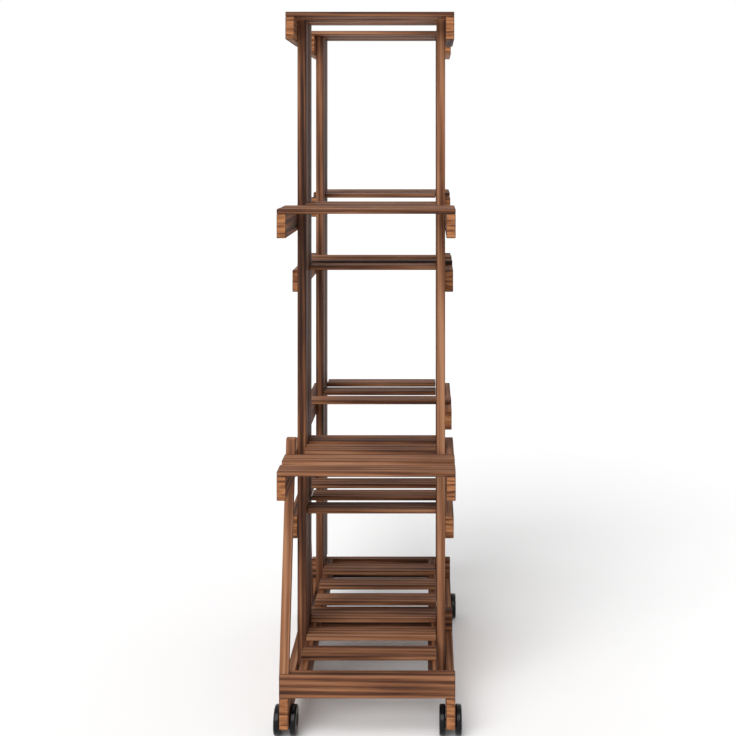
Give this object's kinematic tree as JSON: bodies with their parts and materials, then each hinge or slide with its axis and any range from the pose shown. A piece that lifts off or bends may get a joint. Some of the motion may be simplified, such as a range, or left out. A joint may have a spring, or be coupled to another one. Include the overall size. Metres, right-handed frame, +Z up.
{
  "type": "rolling slatted plant stand",
  "caption": "Tall narrow slatted wooden flower stand on small twin-wheel casters, with staggered shelves on two pairs of posts and a slanted brace.",
  "frame": {"origin": "on the floor below the centre of the stand's overall box", "axes": "+Z up, +Y along the stand from the end that the picture shows nearest to the far end, +X to the right as seen in the picture"},
  "size_m": [0.2692, 0.59, 1.046],
  "materials": {
    "board_wood": "carbonised pine boards, brushed streaky grain, satin clear coat",
    "slat_wood": "carbonised pine slats, brushed streaky grain, satin clear coat",
    "wheel_plastic": "glossy black moulded plastic",
    "housing_plastic": "black moulded plastic",
    "axle_steel": "plain bright steel",
    "screw_steel": "dull bronzed steel"
  },
  "bodies": {
    "frame": {"bearer_low_left": "board_wood", "bearer_low_right": "board_wood", "bearer_middle_left": "board_wood", "bearer_middle_right": "board_wood", "bearer_table_back_left": "board_wood", "bearer_table_back_right": "board_wood", "bearer_table_front_left": "board_wood", "bearer_table_front_right": "board_wood", "bearer_top_back_left": "board_wood", "bearer_top_back_right": "board_wood", "bearer_top_front_left": "board_wood", "bearer_top_front_right": "board_wood", "bearer_upper_back_left": "board_wood", "bearer_upper_back_right": "board_wood", "bearer_upper_front_left": "board_wood", "bearer_upper_front_right": "board_wood", "brace_back_left": "board_wood", "brace_front_left": "board_wood", "caster_housing_back_left": "housing_plastic", "caster_housing_back_right": "housing_plastic", "caster_housing_front_left": "housing_plastic", "caster_housing_front_right": "housing_plastic", "cleats_left": "board_wood", "cleats_right": "board_wood", "post_back_a_left": "board_wood", "post_back_a_right": "board_wood", "post_back_b_left": "board_wood", "post_back_b_right": "board_wood", "post_front_a_left": "board_wood", "post_front_a_right": "board_wood", "post_front_b_left": "board_wood", "post_front_b_right": "board_wood", "rail_back": "board_wood", "rail_front": "board_wood", "rail_middle": "board_wood", "runner_left": "board_wood", "runner_right": "board_wood", "screws": "screw_steel", "slats_base": "slat_wood", "slats_low": "slat_wood", "slats_middle": "slat_wood", "slats_table_back": "slat_wood", "slats_table_front": "slat_wood", "slats_top_back": "slat_wood", "slats_top_front": "slat_wood", "slats_upper_back": "slat_wood", "slats_upper_front": "slat_wood"},
    "wheels_front_left": {"axle_front_left": "axle_steel", "wheel_a_front_left": "wheel_plastic", "wheel_b_front_left": "wheel_plastic"},
    "wheels_front_right": {"axle_front_right": "axle_steel", "wheel_a_front_right": "wheel_plastic", "wheel_b_front_right": "wheel_plastic"},
    "wheels_back_left": {"axle_back_left": "axle_steel", "wheel_a_back_left": "wheel_plastic", "wheel_b_back_left": "wheel_plastic"},
    "wheels_back_right": {"axle_back_right": "axle_steel", "wheel_a_back_right": "wheel_plastic", "wheel_b_back_right": "wheel_plastic"}
  },
  "joints": [
    {"name": "roll_front_left", "type": "hinge", "parent": "frame", "child": "wheels_front_left", "pos_m": [-0.1185, -0.246, 0.0205], "axis": [1, 0, 0], "continuous": true},
    {"name": "roll_front_right", "type": "hinge", "parent": "frame", "child": "wheels_front_right", "pos_m": [0.1185, -0.246, 0.0205], "axis": [1, 0, 0], "continuous": true},
    {"name": "roll_back_left", "type": "hinge", "parent": "frame", "child": "wheels_back_left", "pos_m": [-0.1185, 0.124, 0.0205], "axis": [1, 0, 0], "continuous": true},
    {"name": "roll_back_right", "type": "hinge", "parent": "frame", "child": "wheels_back_right", "pos_m": [0.1185, 0.124, 0.0205], "axis": [1, 0, 0], "continuous": true}
  ]
}
